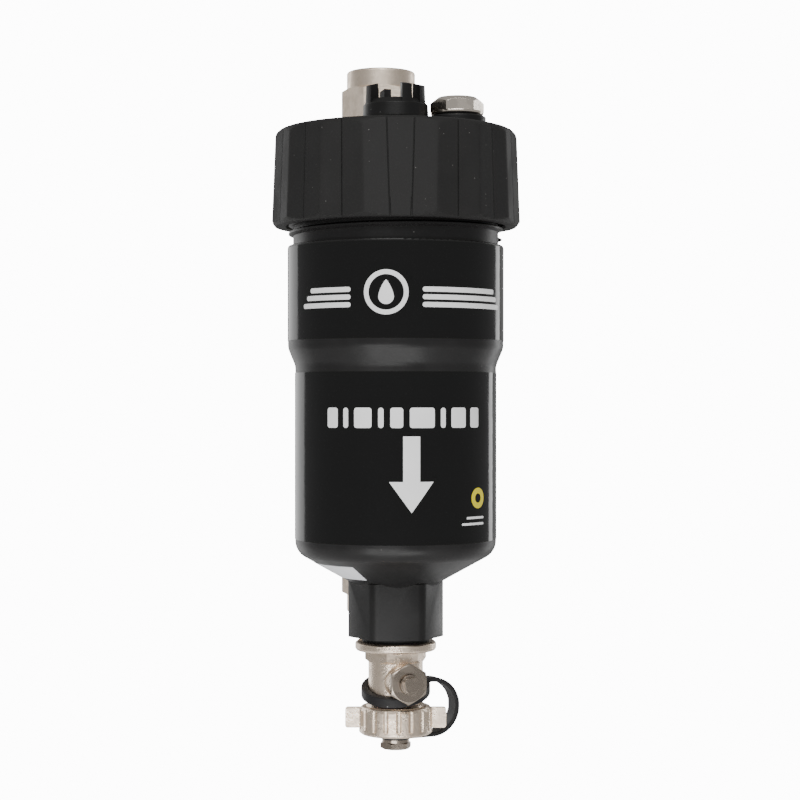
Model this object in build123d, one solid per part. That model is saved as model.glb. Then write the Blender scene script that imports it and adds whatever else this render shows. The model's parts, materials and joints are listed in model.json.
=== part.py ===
from build123d import *
import os
from math import cos, pi, radians, sin, sqrt

# Magnetic system filter for a heating circuit, in millimetres.
# It is drawn about the canister's axis, with heights counted from the foot of the
# drain cap's screw, and moved at the end so that the origin is the centre of the lower
# pipe socket, on the plane where the pipe stops, with +Z up the pipe.

os.makedirs("parts", exist_ok=True)

# Canister
UPPER_R = 47.35
LOWER_R = 44.15
BORE_R = 40.3
CONE_FOOT_R = 20.4
CONE_FOOT_Z = 73.6
CONE_RISE = 1 / 1.8
WALL_RISE = 4.57
BOSS_FLATS = 38.0
BOSS_CORNER_FLATS = 41.6
BOSS_TURN = -1.8
BOSS_FOOT_Z = 49.4
SHOULDER_LOW_Z = 168.0
SHOULDER_TOP_Z = 175.8
LEDGE_Z = 220.5
NECK_R = 45.1
NECK_TOP_Z = 262.0
NECK_CREST_R = 47.05
NECK_PITCH = 4.0
LABEL_GAP = 0.01
LABEL_T = 0.14

# Collar ring: three groups of five grip lobes with a plain panel between the groups
COLLAR_FOOT_Z = 229.0
COLLAR_TOP_Z = 271.0
COLLAR_FOOT_R = 54.8
COLLAR_TOP_R = 53.2
COLLAR_BORE_R = 47.6
COLLAR_MOUTH_R = 41.4
COLLAR_LIP_Z = 267.2
GROOVE_DEPTH = 1.3
PANEL_HALF_TOP = 6.45
PANEL_HALF_FOOT = 4.8
LOBES = 5
GROUPS = 3
COLLAR_TURN = -2.4

# Head
HEAD_FLANGE_R = 46.4
HEAD_PLUG_R = 39.9
HEAD_FOOT_Z = 250.0
HEAD_FLANGE_Z = 266.2
HEAD_TOP_Z = 269.2
PLUG_BOSS_Z = 275.0
VENT_X = 27.2
VENT_BOSS_Z = 277.8

# Magnet core
POCKET_R = 10.4
POCKET_WALL = 0.6
POCKET_FOOT_Z = 104.0
ROD_R = 3.0
MAGNET_R = 9.2
MAGNET_LENGTH = 18.0
POLE_LENGTH = 3.0
MAGNETS = 6
STACK_FOOT_Z = 110.0
PLUG_R = 14.5
MERLON_CENTRES = (16.7, 54.7, 114.7)

# Drain valve and cap
DRAIN_BARREL_R = 12.0
DRAIN_FLANGE_R = 17.8
DRAIN_BALL_Z = 30.5
DRAIN_BALL_R = 9.1
DRAIN_AZIMUTH = 14.3
OUTLET_R = 13.2
CAP_R = 16.1
CAP_FOOT_Z = 6.6
CAP_TOP_Z = 18.7
CAP_FLUTES = 18
FLUTE_R = 1.35
FLUTE_FOOT_Z = 9.9
WING_TURN = -4.8

# Strap: a tilted ring round the barrel, a half loop beside the cap and an eye under it
STRAP_R = 15.2
STRAP_BORE_R = 12.3
STRAP_MID_Z = 26.0
STRAP_LEAN_X = 0.064
STRAP_LEAN_Y = 0.271
STRAP_HEIGHT = 4.0
STRAP_WIDTH = 8.0
STRAP_T = 2.0
STRAP_AZIMUTH = 20.2
LOOP_R = 12.1
LOOP_S = 16.5
EYE_Z = 5.3
EYE_R = 6.6

# Pipe run behind the canister, for 22 mm pipe
RUN_Y = 88.0
RUN_Z = 181.3
PORT_R = 16.8
PIPE_R = 11.1
PIPE_STOP = 98.0
RUN_HALF = 130.9
VALVE_BALL_AT = 71.0
VALVE_BALL_R = 13.9
VALVE_BORE_R = 9.5
TEE_R = 15.6
FIT = 0.3

MIN_Z = (Align.CENTER, Align.CENTER, Align.MIN)
ORIGIN = Pos(0, -RUN_Y, -(RUN_Z - PIPE_STOP))


def disc(radius, bottom, top):
    return Pos(0, 0, bottom) * Cylinder(radius, top - bottom, align=MIN_Z)


def ring(outer, inner, bottom, top):
    return disc(outer, bottom, top) - disc(inner, bottom - 1, top + 1)


def turned(points, radii=0, angle=360):
    """A closed outline of (radius, height) points spun about the Z axis."""
    if radii == 0:
        outline = Polyline(*points, close=True)
    else:
        outline = FilletPolyline(*points, radius=radii, close=True)
    return Rot(90, 0, 0) * revolve(make_face(outline), Axis.Y, angle)


def hexagon(flats, bottom, top, turn=0.0, chamfer=0.0):
    """A hexagonal prism with a flat towards -Y, its corners turned off at both ends."""
    sketch = RegularPolygon(radius=flats / 2, side_count=6, major_radius=False)
    prism = Pos(0, 0, bottom) * Rot(0, 0, turn) * extrude(sketch, top - bottom)
    if chamfer == 0:
        return prism
    end_r = flats / 2 - 0.2
    corner_r = flats / sqrt(3) + 0.05
    low, high = bottom + chamfer, top - chamfer
    envelope = [(0, bottom), (end_r, bottom), (corner_r, low), (corner_r, high), (end_r, top), (0, top)]
    return prism & turned(envelope)


def along_y(shape):
    return Rot(-90, 0, 0) * shape


def along_x(shape):
    return Rot(0, 90, 0) * shape


def ridged(crest, root, bottom, top, pitch):
    """A thread drawn as plain ridges: its outline goes up the crests and roots."""
    points = [(0, bottom), (root, bottom)]
    for step in range(int((top - bottom) / pitch)):
        z = bottom + step * pitch
        points += [(root, z + 0.2 * pitch), (crest, z + 0.5 * pitch), (crest, z + 0.65 * pitch)]
        points += [(root, z + 0.95 * pitch)]
    points += [(root, top), (0, top)]
    return turned(points)


def cone_z(radius):
    return CONE_FOOT_Z + (radius - CONE_FOOT_R) * CONE_RISE


def save(shape, name):
    placed = ORIGIN * shape
    placed.label = name
    export_step(placed, f"parts/{name}.step")
    print(name, len(placed.solids()), round(placed.volume))


# ---- canister ----


def neck_thread():
    path = Helix(pitch=NECK_PITCH, height=33.0, radius=NECK_R, center=(0, 0, LEDGE_Z + 3.4))
    height = NECK_CREST_R - NECK_R
    section = Polyline((-0.5, -1.5), (height, -0.4), (height, 0.4), (-0.5, 1.5), close=True)
    plane = Plane(origin=path @ 0, x_dir=(1, 0, 0), z_dir=path % 0)
    return sweep(plane * make_face(section), path=path, is_frenet=True)


def canister_body():
    corner_z = cone_z(LOWER_R)
    outer = turned(
        [(0, 60), (CONE_FOOT_R - 2, 60), (CONE_FOOT_R - 2, CONE_FOOT_Z - 2), (CONE_FOOT_R, CONE_FOOT_Z),
         (LOWER_R, corner_z), (LOWER_R, SHOULDER_LOW_Z), (UPPER_R, SHOULDER_TOP_Z), (UPPER_R, LEDGE_Z),
         (NECK_R, LEDGE_Z), (NECK_R, NECK_TOP_Z), (0, NECK_TOP_Z)],
        [0, 0, 0, 0, 8.0, 7.0, 7.0, 0.7, 0, 1.0, 0],
    )
    boss = hexagon(BOSS_FLATS, BOSS_FOOT_Z, CONE_FOOT_Z, BOSS_TURN)
    boss &= hexagon(BOSS_CORNER_FLATS, BOSS_FOOT_Z, CONE_FOOT_Z, BOSS_TURN + 30)
    port = along_y(disc(19.0, 20, 53.5) + ridged(PORT_R, PORT_R - 0.9, 53.5, 62.0, 1.8))
    cavity = turned(
        [(0, cone_z(10.55) + WALL_RISE), (10.55, cone_z(10.55) + WALL_RISE),
         (BORE_R, cone_z(BORE_R) + WALL_RISE), (BORE_R, NECK_TOP_Z + 1), (0, NECK_TOP_Z + 1)],
        [0, 0, 5.0, 0, 0],
    )
    solid = outer + boss + Pos(0, 0, RUN_Z) * port + neck_thread()
    solid -= cavity
    solid -= disc(10.55, 40, 80)
    return solid - Pos(0, 0, RUN_Z) * along_y(disc(12.0, 30, 70))


def wrap_label(radius, bottom, top):
    inner = radius + LABEL_GAP
    outer = inner + LABEL_T
    points = [(inner, bottom), (outer, bottom), (outer, top), (inner, top)]
    band = Rot(0, 0, 91) * turned(points, angle=358)
    return band - Pos(0, 0, RUN_Z) * along_y(disc(21.0, 0, 60))


def batch_sticker():
    near, far = 24.5, 36.0
    lift = LABEL_GAP + 0.02
    low, high = cone_z(near) - lift, cone_z(far) - lift
    points = [(near, low), (far, high), (far, high - LABEL_T), (near, low - LABEL_T)]
    return Rot(0, 0, 180 - 10) * turned(points, angle=65)


def settling_baffle():
    plate = ring(BORE_R - 0.3, 13.0, 100.0, 101.6) + ring(BORE_R - 0.3, BORE_R - 1.5, 96.0, 106.0)
    for spot in PolarLocations(27.0, 10):
        plate -= spot * disc(4.0, 95, 110)
    return plate


def diverter_tube():
    level = along_y(disc(7.2, 30, 88))
    level_bore = along_y(disc(6.0, 30, 89))
    riser, riser_bore = disc(7.2, 0, 57), disc(6.0, 0, 58)
    tube = level + Pos(0, 30, 0) * (riser + Sphere(7.2))
    tube -= level_bore + Pos(0, 30, 0) * (riser_bore + Sphere(6.0))
    return Pos(0, 0, RUN_Z) * tube


# ---- collar and head ----


def collar_section(radius, panel_half, height):
    """The many-sided outline at one height, with its ridges on the given radius."""
    root = radius - GROOVE_DEPTH
    lobe = (360 / GROUPS - 2 * panel_half) / LOBES
    points = []
    for group in range(GROUPS):
        start = group * 360 / GROUPS + panel_half
        for index in range(LOBES):
            groove = start + index * lobe
            points.append((root, groove))
            points.append((radius, groove + lobe / 2))
        points.append((root, start + LOBES * lobe))
    corners = [(r * cos(radians(a)), r * sin(radians(a))) for r, a in points]
    return Pos(0, 0, height) * make_face(Polyline(*corners, close=True))


def collar_ring():
    foot = collar_section(COLLAR_FOOT_R, PANEL_HALF_FOOT, COLLAR_FOOT_Z)
    top = collar_section(COLLAR_TOP_R, PANEL_HALF_TOP, COLLAR_TOP_Z)
    grip = Rot(0, 0, -90 + COLLAR_TURN) * loft([foot, top], ruled=True)
    envelope = turned(
        [(0, COLLAR_FOOT_Z), (COLLAR_FOOT_R - 1.9, COLLAR_FOOT_Z), (COLLAR_FOOT_R - 0.2, COLLAR_FOOT_Z + 1.8),
         (COLLAR_FOOT_R + 1, COLLAR_FOOT_Z + 8), (COLLAR_TOP_R - 0.1, COLLAR_TOP_Z), (0, COLLAR_TOP_Z)],
        [0, 0, 0.6, 0, 4.0, 0],
    )
    return (grip & envelope) - disc(COLLAR_BORE_R, 220, COLLAR_LIP_Z) - disc(COLLAR_MOUTH_R, 220, 280)


def head_disc():
    body = turned(
        [(0, HEAD_FOOT_Z), (HEAD_PLUG_R, HEAD_FOOT_Z), (HEAD_PLUG_R, NECK_TOP_Z), (HEAD_FLANGE_R, NECK_TOP_Z),
         (HEAD_FLANGE_R, HEAD_FLANGE_Z), (COLLAR_MOUTH_R - 1, HEAD_FLANGE_Z), (COLLAR_MOUTH_R - 1, HEAD_TOP_Z),
         (0, HEAD_TOP_Z)],
        [0, 1.0, 0, 0.5, 0.5, 0, 1.0, 0],
    )
    body -= ring(HEAD_PLUG_R + 1, 37.1, 254.2, 257.8)
    body += turned([(0, 260), (16.0, 260), (16.0, PLUG_BOSS_Z), (0, PLUG_BOSS_Z)], [0, 0, 0.8, 0])
    vent = turned([(0, 260), (12.7, 260), (12.7, VENT_BOSS_Z), (0, VENT_BOSS_Z)], [0, 0, 0.6, 0])
    body += Pos(VENT_X, 0, 0) * vent
    body -= disc(POCKET_R + 0.2, 240, 300)
    body -= disc(12.6, NECK_TOP_Z, 300)
    return body - Pos(VENT_X, 0, 0) * disc(5.0, 240, 300)


def head_oring():
    return Pos(0, 0, 256.0) * Torus(38.7, 1.5)


def magnet_pocket():
    inner = POCKET_R - POCKET_WALL
    return turned(
        [(0, POCKET_FOOT_Z), (POCKET_R, POCKET_FOOT_Z), (POCKET_R, NECK_TOP_Z), (12.3, NECK_TOP_Z),
         (12.3, 263.4), (inner, 263.4), (inner, POCKET_FOOT_Z + 0.8), (0, POCKET_FOOT_Z + 0.8)],
        [0, 2.0, 0, 0.3, 0.3, 0, 1.4, 0],
    )


def magnet_rod():
    return disc(ROD_R, 105.8, 270.2) + disc(5.0, 270.2, 272.6)


def stack(height, count, first_z, pitch):
    rings = [Pos(0, 0, first_z + step * pitch) * ring(MAGNET_R, ROD_R + 0.1, 0, height) for step in range(count)]
    return Compound(children=[piece for item in rings for piece in item.solids()])


def magnet_plug():
    shank = ridged(12.2, 11.3, 267.0, 275.6, 2.0)
    base = turned(
        [(0, 275.5), (11.3, 275.5), (11.3, 276.2), (PLUG_R, 276.2), (PLUG_R - 0.3, 282.3), (12.4, 284.6),
         (0, 284.6)],
        [0, 0, 0, 0.4, 0.4, 0, 0],
    )
    plug = shank + base
    for centre in MERLON_CENTRES + tuple(a + 180 for a in MERLON_CENTRES):
        plug += Rot(0, 0, centre - 90) * merlon()
    plug -= disc(8.6, 280.5, 300)
    plug -= disc(5.4, 269.6, 273.2)
    return plug - disc(ROD_R + 0.2, 260, 270)


def merlon():
    """One upright tooth, its top sloping down outwards."""
    block = turned([(9.6, 280), (14.0, 282.0), (13.7, 290.4), (9.8, 291.4)])
    wedge = Polyline((0, 0), (20 * cos(radians(9.5)), -20 * sin(radians(9.5))),
                     (20 * cos(radians(9.5)), 20 * sin(radians(9.5))), close=True)
    return block & Pos(0, 0, 270) * extrude(make_face(wedge), 30)


def vent_plug():
    shank = ridged(4.8, 4.2, 267.0, 278.7, 1.5)
    face = turned([(0, 278.6), (11.3, 278.6), (11.6, 279.0), (11.6, 279.9), (0, 279.9)])
    dome = turned([(0, 279), (11.9, 279), (11.9, 283.6), (8.4, 286.3), (0, 286.9)])
    nut = hexagon(20.8, 279.8, 287) & dome
    return Pos(VENT_X, 0, 0) * (shank + face + nut - disc(2.2, 260, 275))


# ---- drain ----


def drain_axis(shape):
    """Lays a shape drawn along Z out along the drain spindle, through the ball's centre."""
    return Pos(0, 0, DRAIN_BALL_Z) * Rot(0, 0, DRAIN_AZIMUTH) * Rot(90, 0, 0) * shape


def strap_plane():
    """The tilted plane through the middle of the strap's ring."""
    return Plane(origin=(0, 0, STRAP_MID_Z), z_dir=(-STRAP_LEAN_X, -STRAP_LEAN_Y, 1))


def strap_ring():
    slab = strap_plane() * extrude(Rectangle(60, 60), STRAP_HEIGHT / 2, both=True)
    return ring(STRAP_R, STRAP_BORE_R, 10, 45) & slab


def under_strap_top():
    """All the room below the strap ring's upper face, with clearance, in front of the valve."""
    room = Pos(0, 0, STRAP_HEIGHT / 2 + FIT) * extrude(Rectangle(80, 80), -30)
    return strap_plane() * room


def drain_valve_body():
    body = turned(
        [(0, 43.4), (DRAIN_FLANGE_R - 0.7, 43.4), (DRAIN_FLANGE_R, 44.3), (DRAIN_FLANGE_R, 46.6),
         (DRAIN_FLANGE_R - 1, 47.5), (0, 47.5)],
        [0, 0.5, 0.8, 0.8, 0.5, 0],
    )
    body += ridged(10.35, 9.6, 47.4, 66.0, 1.8)
    body += hexagon(24.0, 38.4, 43.6, 9.2) & turned([(0, 38.4), (12.1, 38.4), (14.0, 39.9), (14.0, 43.6), (0, 43.6)])
    body += turned(
        [(0, 18.4), (OUTLET_R, 18.4), (OUTLET_R, 19.0), (DRAIN_BARREL_R, 20.2), (DRAIN_BARREL_R, 38.6), (0, 38.6)]
    )
    body += ridged(OUTLET_R, 12.1, 10.6, 18.5, 1.8)
    body += drain_axis(turned([(0, 6), (8.2, 6), (8.2, 15.4), (0, 15.4)], [0, 0, 0.6, 0])) - under_strap_top()
    body -= disc(6.6, 0, 70)
    body -= disc(9.35, DRAIN_BALL_Z - 8.8, DRAIN_BALL_Z + 8.8)
    body -= drain_axis(disc(4.5, 0, 20))
    return body - drain_axis(disc(5.1, 12.6, 20))


def drain_ball():
    ball = Sphere(DRAIN_BALL_R)
    ball -= Pos(0, -18.7, 0) * Box(20, 20, 20)
    ball -= along_x(disc(6.0, -12, 12))
    return Pos(0, 0, DRAIN_BALL_Z) * Rot(0, 0, DRAIN_AZIMUTH) * ball


def ball_seats(outer, bore, ball_r, near, far):
    seats = []
    for low, high in ((near, far), (-far, -near)):
        seats += (ring(outer, bore, low, high) - Sphere(ball_r + 0.05)).solids()
    return Compound(children=seats)


def drain_gland_nut():
    nut = hexagon(16.0, 15.5, 18.2, 30, 1.0) + disc(5.0, 14.7, 15.6)
    return drain_axis(nut - disc(4.4, 10, 20))


def drain_spindle():
    tip = Pos(0, 0, 19.8) * extrude(chamfer(Rectangle(6.2, 6.2).vertices(), 1.2), 1.9)
    return drain_axis(disc(4.3, 8.75, 20.0) + Rot(0, 0, 8) * tip)


def strap():
    band = Plane.XZ * Pos(0, 0, 0) * make_face(loop_outline())
    band = extrude(band, STRAP_WIDTH / 2, both=True)
    eye = disc(EYE_R, EYE_Z - STRAP_T / 2, EYE_Z + STRAP_T / 2)
    band = Rot(0, 0, STRAP_AZIMUTH) * (band - disc(STRAP_BORE_R, 15, 45))
    return strap_ring() + band + eye - disc(3.1, 0, 9)


def loop_outline():
    """The band seen from its side: out of the ring, round a half circle, in to the eye."""
    mid_z = EYE_Z + LOOP_R
    far, near = LOOP_R + STRAP_T / 2, LOOP_R - STRAP_T / 2
    outer = Line((12.5, mid_z + far), (LOOP_S, mid_z + far))
    outer += RadiusArc((LOOP_S, mid_z + far), (LOOP_S + far, mid_z), far)
    outer += RadiusArc((LOOP_S + far, mid_z), (LOOP_S, mid_z - far), far)
    outer += Line((LOOP_S, mid_z - far), (4.0, mid_z - far))
    outer += Line((4.0, mid_z - far), (4.0, mid_z - near))
    outer += Line((4.0, mid_z - near), (LOOP_S, mid_z - near))
    outer += RadiusArc((LOOP_S, mid_z - near), (LOOP_S + near, mid_z), -near)
    outer += RadiusArc((LOOP_S + near, mid_z), (LOOP_S, mid_z + near), -near)
    outer += Line((LOOP_S, mid_z + near), (12.5, mid_z + near))
    outer += Line((12.5, mid_z + near), (12.5, mid_z + far))
    return outer


def drain_cap():
    cap = turned(
        [(0, CAP_FOOT_Z), (CAP_R - 1.2, CAP_FOOT_Z), (CAP_R, CAP_FOOT_Z + 0.9), (CAP_R, 17.4), (14.9, CAP_TOP_Z),
         (0, CAP_TOP_Z)],
        [0, 0.5, 0.5, 0.4, 0.4, 0],
    )
    for index in range(CAP_FLUTES):
        angle = (index + 0.5) * 360 / CAP_FLUTES
        groove = disc(FLUTE_R, FLUTE_FOOT_Z, 25) + Pos(0, 0, FLUTE_FOOT_Z) * Sphere(FLUTE_R)
        cap -= Rot(0, 0, angle) * Pos(CAP_R + 0.55, 0, 0) * groove
    for side in (0, 180):
        wing = Pos(14, 0, 9.2) * Box(8.2, 3.0, 8.9, align=(Align.MIN, Align.CENTER, Align.MIN))
        wing = fillet(wing.edges().filter_by(Axis.Y).group_by(Axis.X)[-1], 1.2)
        cap += Rot(0, 0, WING_TURN + side) * wing
    cap -= disc(OUTLET_R + FIT, 8.9, 30)
    return cap - disc(3.0, 0, 20)


def cap_bolt():
    head = hexagon(12.0, 0, 3.1, 10, 0.7)
    return head + disc(6.0, 3.0, EYE_Z - STRAP_T / 2) + disc(2.9, 4.0, 8.9)


# ---- pipe run ----


def port_union_nut():
    nut = hexagon(41.0, 54.5, 70.0, 8, 1.2)
    return Pos(0, 0, RUN_Z) * along_y(nut - disc(PORT_R + FIT, 50, 66.8) - disc(13.7, 60, 80))


def manifold_tee():
    half = TEE_R + 8.4
    body = turned(
        [(0, -half), (TEE_R, -half), (TEE_R, half), (0, half)],
        [0, 1.5, 1.5, 0],
    )
    body += ridged(14.7, 13.8, half - 0.1, 39.7, 1.8) + Rot(180, 0, 0) * ridged(14.7, 13.8, half - 0.1, 39.7, 1.8)
    branch = along_y(disc(13.4, -24.5, 0) + disc(16.4, -24.5, -21.3))
    body += branch
    body -= along_y(disc(11.9, -30, -4))
    body -= along_y(disc(7.45, -10, 6))
    upper, lower = disc(9.0, 13, 50), disc(9.0, -50, -13)
    body -= upper + lower + Pos(0, 2.5, 0) * disc(4.5, 0, 14) + Pos(0, -10, 0) * disc(4.5, -14, 0)
    return Pos(0, RUN_Y, RUN_Z) * body


def valve_body():
    body = turned(
        [(0, 41.2), (14.4, 41.2), (14.4, 44.0), (11.8, 44.0), (11.8, 52.0), (18.0, 57.5), (18.0, 84.5),
         (14.2, 88.5), (14.2, 96.0), (0, 96.0)],
        [0, 0, 0, 0, 1.5, 4.0, 4.0, 1.5, 0, 0],
    )
    body += hexagon(31.0, 88.6, 95.6, 0, 0.8)
    body += ridged(14.3, 13.5, 95.9, 113.0, 1.5)
    body += Pos(0, 0, VALVE_BALL_AT) * along_x(turned([(0, 0), (9.0, 0), (9.0, 24.0), (0, 24.0)], [0, 0, 0.8, 0]))
    body -= disc(VALVE_BORE_R, 30, 120)
    body -= disc(PIPE_R, PIPE_STOP, 120)
    body -= turned([(0, 111.6), (PIPE_R, 111.6), (PIPE_R + 1.4, 113.1), (0, 113.1)])
    body -= disc(VALVE_BALL_R + 0.3, VALVE_BALL_AT - 12.2, VALVE_BALL_AT + 12.2)
    body -= Pos(0, 0, VALVE_BALL_AT) * along_x(disc(4.2, 0, 30))
    return body - Pos(0, 0, VALVE_BALL_AT) * along_x(disc(6.2, 20.5, 30))


def valve_ball():
    ball = Sphere(VALVE_BALL_R) - disc(VALVE_BORE_R, -20, 20) - Pos(23.3, 0, 0) * Box(20, 20, 20)
    return Pos(0, 0, VALVE_BALL_AT) * ball


def valve_handle():
    """A butterfly lever: a hub with two wings that lean outwards along the pipe."""
    hub = disc(7.6, 28.6, 32.4)
    wing = Polyline((0, 28.6), (0, 31.6), (7, 31.6), (13, 36.6), (20, 37.4), (20, 34.4), (14, 33.6),
                    (8, 28.6), close=True)
    plate = extrude(Plane.XZ * make_face(wing), 4.6, both=True)
    lever = hub + plate + Rot(0, 0, 180) * plate
    lever = along_x(Rot(0, 0, 0) * lever)
    return Pos(0, 0, VALVE_BALL_AT) * (lever - along_x(disc(3.05, 20, 40)))


def compression_nut():
    nut = hexagon(33.0, 104.5, 122.6, 0, 1.4)
    nut += turned([(0, 120), (16.55, 120), (16.55, RUN_HALF), (0, RUN_HALF)], [0, 0, 1.2, 0])
    nut -= disc(14.3 + FIT, 100, 113.6)
    nut -= disc(13.8, 110, 121.0)
    return nut - disc(PIPE_R + 0.2, 100, 140)


def olive():
    return turned([(PIPE_R + 0.05, 113.4), (12.4, 113.4), (13.3, 116.0), (13.3, 118.0), (12.4, 120.6),
                   (PIPE_R + 0.05, 120.6)])


def union_nut():
    nut = hexagon(36.0, 30.0, 47.0, 15, 1.2)
    return nut - disc(14.7 + FIT, 20, 44.2) - disc(12.1, 20, 50)


def save_valve_set(side, flip):
    """Writes one side of the run; the lower side is the upper one turned over about X."""
    at = Pos(0, RUN_Y, RUN_Z) * flip
    centre = Pos(0, 0, VALVE_BALL_AT)
    spindle = disc(4.0, 13.4, 28.6) + disc(2.95, 28.5, 32.4)
    screw = disc(4.6, 32.4, 35.0) + disc(2.0, 31.0, 32.5) - Pos(0, 0, 34.6) * Box(12, 1.2, 2)
    pieces = {
        "union_nut": union_nut(),
        "union_washer": ring(14.3, 10.2, 39.7, 41.2),
        "valve_body": valve_body(),
        "valve_seats": centre * ball_seats(14.0, 10.2, VALVE_BALL_R, 9.4, 12.0),
        "valve_ball": valve_ball(),
        "valve_spindle": centre * along_x(spindle - disc(2.1, 30.5, 40)),
        "spindle_seal": centre * along_x(ring(6.1, 4.05, 20.6, 23.2)),
        "gland_nut": centre * along_x((hexagon(19.0, 24.1, 27.8, 0, 0.6) + disc(6.0, 23.2, 24.2)) - disc(4.2, 20, 30)),
        "valve_handle": valve_handle(),
        "handle_screw": centre * along_x(screw),
        "olive": olive(),
        "compression_nut": compression_nut(),
    }
    for name, shape in pieces.items():
        save(at * shape, f"{side}_{name}")


save(canister_body(), "canister_body")
save(wrap_label(UPPER_R, 179.0, 219.4), "upper_label")
save(wrap_label(LOWER_R, 92.4, 165.0), "lower_label")
save(batch_sticker(), "batch_sticker")
save(settling_baffle(), "settling_baffle")
save(diverter_tube(), "diverter_tube")
save(Pos(0, 0, RUN_Z) * along_y(ring(16.3, 12.2, 62.0, 63.5)), "port_gasket")

save(collar_ring(), "collar_ring")
save(ring(HEAD_FLANGE_R - 0.2, COLLAR_MOUTH_R + 0.4, HEAD_FLANGE_Z, COLLAR_LIP_Z), "slip_ring")
save(head_disc(), "head_disc")
save(head_oring(), "head_oring")
save(magnet_pocket(), "magnet_pocket")

step = MAGNET_LENGTH + POLE_LENGTH
save(magnet_rod(), "magnet_rod")
save(stack(MAGNET_LENGTH, MAGNETS, STACK_FOOT_Z + POLE_LENGTH, step), "magnets")
save(stack(POLE_LENGTH, MAGNETS + 1, STACK_FOOT_Z, step), "pole_pieces")
save(ring(6.2, ROD_R + 0.1, STACK_FOOT_Z + MAGNETS * step + POLE_LENGTH, 266.0), "core_spacer")
save(hexagon(8.0, 106.6, STACK_FOOT_Z, 0, 0.3) - disc(ROD_R + 0.02, 100, 120), "rod_nut")
save(magnet_plug(), "magnet_plug")
save(ring(14.3, 12.6, PLUG_BOSS_Z, 276.2), "plug_washer")
save(vent_plug(), "vent_plug")
save(Pos(VENT_X, 0, 0) * ring(10.4, 5.0, VENT_BOSS_Z, 278.6), "vent_washer")

save(ring(14.8, 10.6, 47.5, BOSS_FOOT_Z), "drain_washer")
save(drain_valve_body(), "drain_valve_body")
save(drain_ball(), "drain_ball")
save(Pos(0, 0, DRAIN_BALL_Z) * ball_seats(9.25, 6.2, DRAIN_BALL_R, 6.4, 8.7), "drain_seats")
save(drain_axis(ring(5.0, 4.35, 12.7, 14.6)), "drain_spindle_seal")
save(drain_gland_nut(), "drain_gland_nut")
save(drain_spindle(), "drain_spindle")
save(strap(), "strap")
save(drain_cap(), "drain_cap")
save(ring(13.2, 3.2, 8.95, 10.4), "cap_washer")
save(cap_bolt(), "cap_bolt")

save(manifold_tee(), "manifold_tee")
save(port_union_nut(), "port_union_nut")
save_valve_set("upper", Rot(0, 0, 0))
save_valve_set("lower", Rot(180, 0, 0))
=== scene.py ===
# %% [markdown]
# # A magnetic system filter
#
# The filter cleans the water of a heating circuit. A black canister hangs in front of a
# run of pipe fittings. A big ribbed collar clamps its head, a castellated plug holds the
# magnet core, and a small valve with a winged cap drains it from below.
#
# The CAD model already holds every part at its real size. This lesson gives each part its
# finish, rebuilds the parts whose look depends on soft edges, and lights the whole.

# %% Load the CAD frame
import json
import math

import bmesh
import bpy
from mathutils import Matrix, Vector


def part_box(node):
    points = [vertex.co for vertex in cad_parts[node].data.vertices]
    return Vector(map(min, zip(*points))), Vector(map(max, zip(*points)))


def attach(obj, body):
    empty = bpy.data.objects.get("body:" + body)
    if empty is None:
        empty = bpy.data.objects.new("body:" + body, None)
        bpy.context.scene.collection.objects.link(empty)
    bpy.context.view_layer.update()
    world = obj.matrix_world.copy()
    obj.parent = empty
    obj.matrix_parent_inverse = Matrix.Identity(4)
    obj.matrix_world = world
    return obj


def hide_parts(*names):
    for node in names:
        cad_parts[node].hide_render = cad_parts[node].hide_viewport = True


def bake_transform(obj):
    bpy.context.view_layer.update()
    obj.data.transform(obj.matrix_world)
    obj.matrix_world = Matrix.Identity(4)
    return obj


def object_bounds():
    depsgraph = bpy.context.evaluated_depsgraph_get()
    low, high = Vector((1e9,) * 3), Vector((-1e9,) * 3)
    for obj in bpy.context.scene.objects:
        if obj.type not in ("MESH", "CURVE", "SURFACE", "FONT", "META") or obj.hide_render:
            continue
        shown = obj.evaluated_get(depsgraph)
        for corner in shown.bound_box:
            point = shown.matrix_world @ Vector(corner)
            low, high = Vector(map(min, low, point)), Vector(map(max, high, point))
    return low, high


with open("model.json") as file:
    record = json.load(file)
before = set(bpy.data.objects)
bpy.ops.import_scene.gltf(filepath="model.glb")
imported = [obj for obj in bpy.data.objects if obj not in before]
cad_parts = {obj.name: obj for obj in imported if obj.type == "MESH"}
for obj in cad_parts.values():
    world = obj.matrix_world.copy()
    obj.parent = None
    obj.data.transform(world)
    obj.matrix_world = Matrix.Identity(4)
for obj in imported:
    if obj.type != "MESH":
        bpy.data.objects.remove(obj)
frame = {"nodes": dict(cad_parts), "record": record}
cad_box = [list(corner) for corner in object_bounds()]
nodes = frame["nodes"]
slot_of = {part["node"]: part["material_slot"] for part in frame["record"]["subparts"]}
body_of = {
    name: body
    for body, names in frame["record"]["behaviour"]["bodies"].items()
    for name in names
}

# %% [markdown]
# Every piece is placed from the CAD boxes. The canister's axis comes from the slip ring,
# which is round and sits on it. One millimetre gets a name, because all sizes are in metres.

# %% Places on the object
MM = 0.001


def low(node):
    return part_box(node)[0]


def high(node):
    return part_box(node)[1]


def middle(node):
    return (low(node) + high(node)) / 2


AXIS = Vector((middle("slip_ring").x, middle("slip_ring").y, 0))
COLLAR_FOOT, COLLAR_TOP = low("collar_ring").z, high("collar_ring").z
UPPER_LABEL_R = (high("upper_label").x - low("upper_label").x) / 2
LOWER_LABEL_R = (high("lower_label").x - low("lower_label").x) / 2
print("canister axis at", [round(v, 4) for v in AXIS])
print("label radii in mm:", round(UPPER_LABEL_R / MM, 2), round(LOWER_LABEL_R / MM, 2))

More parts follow.
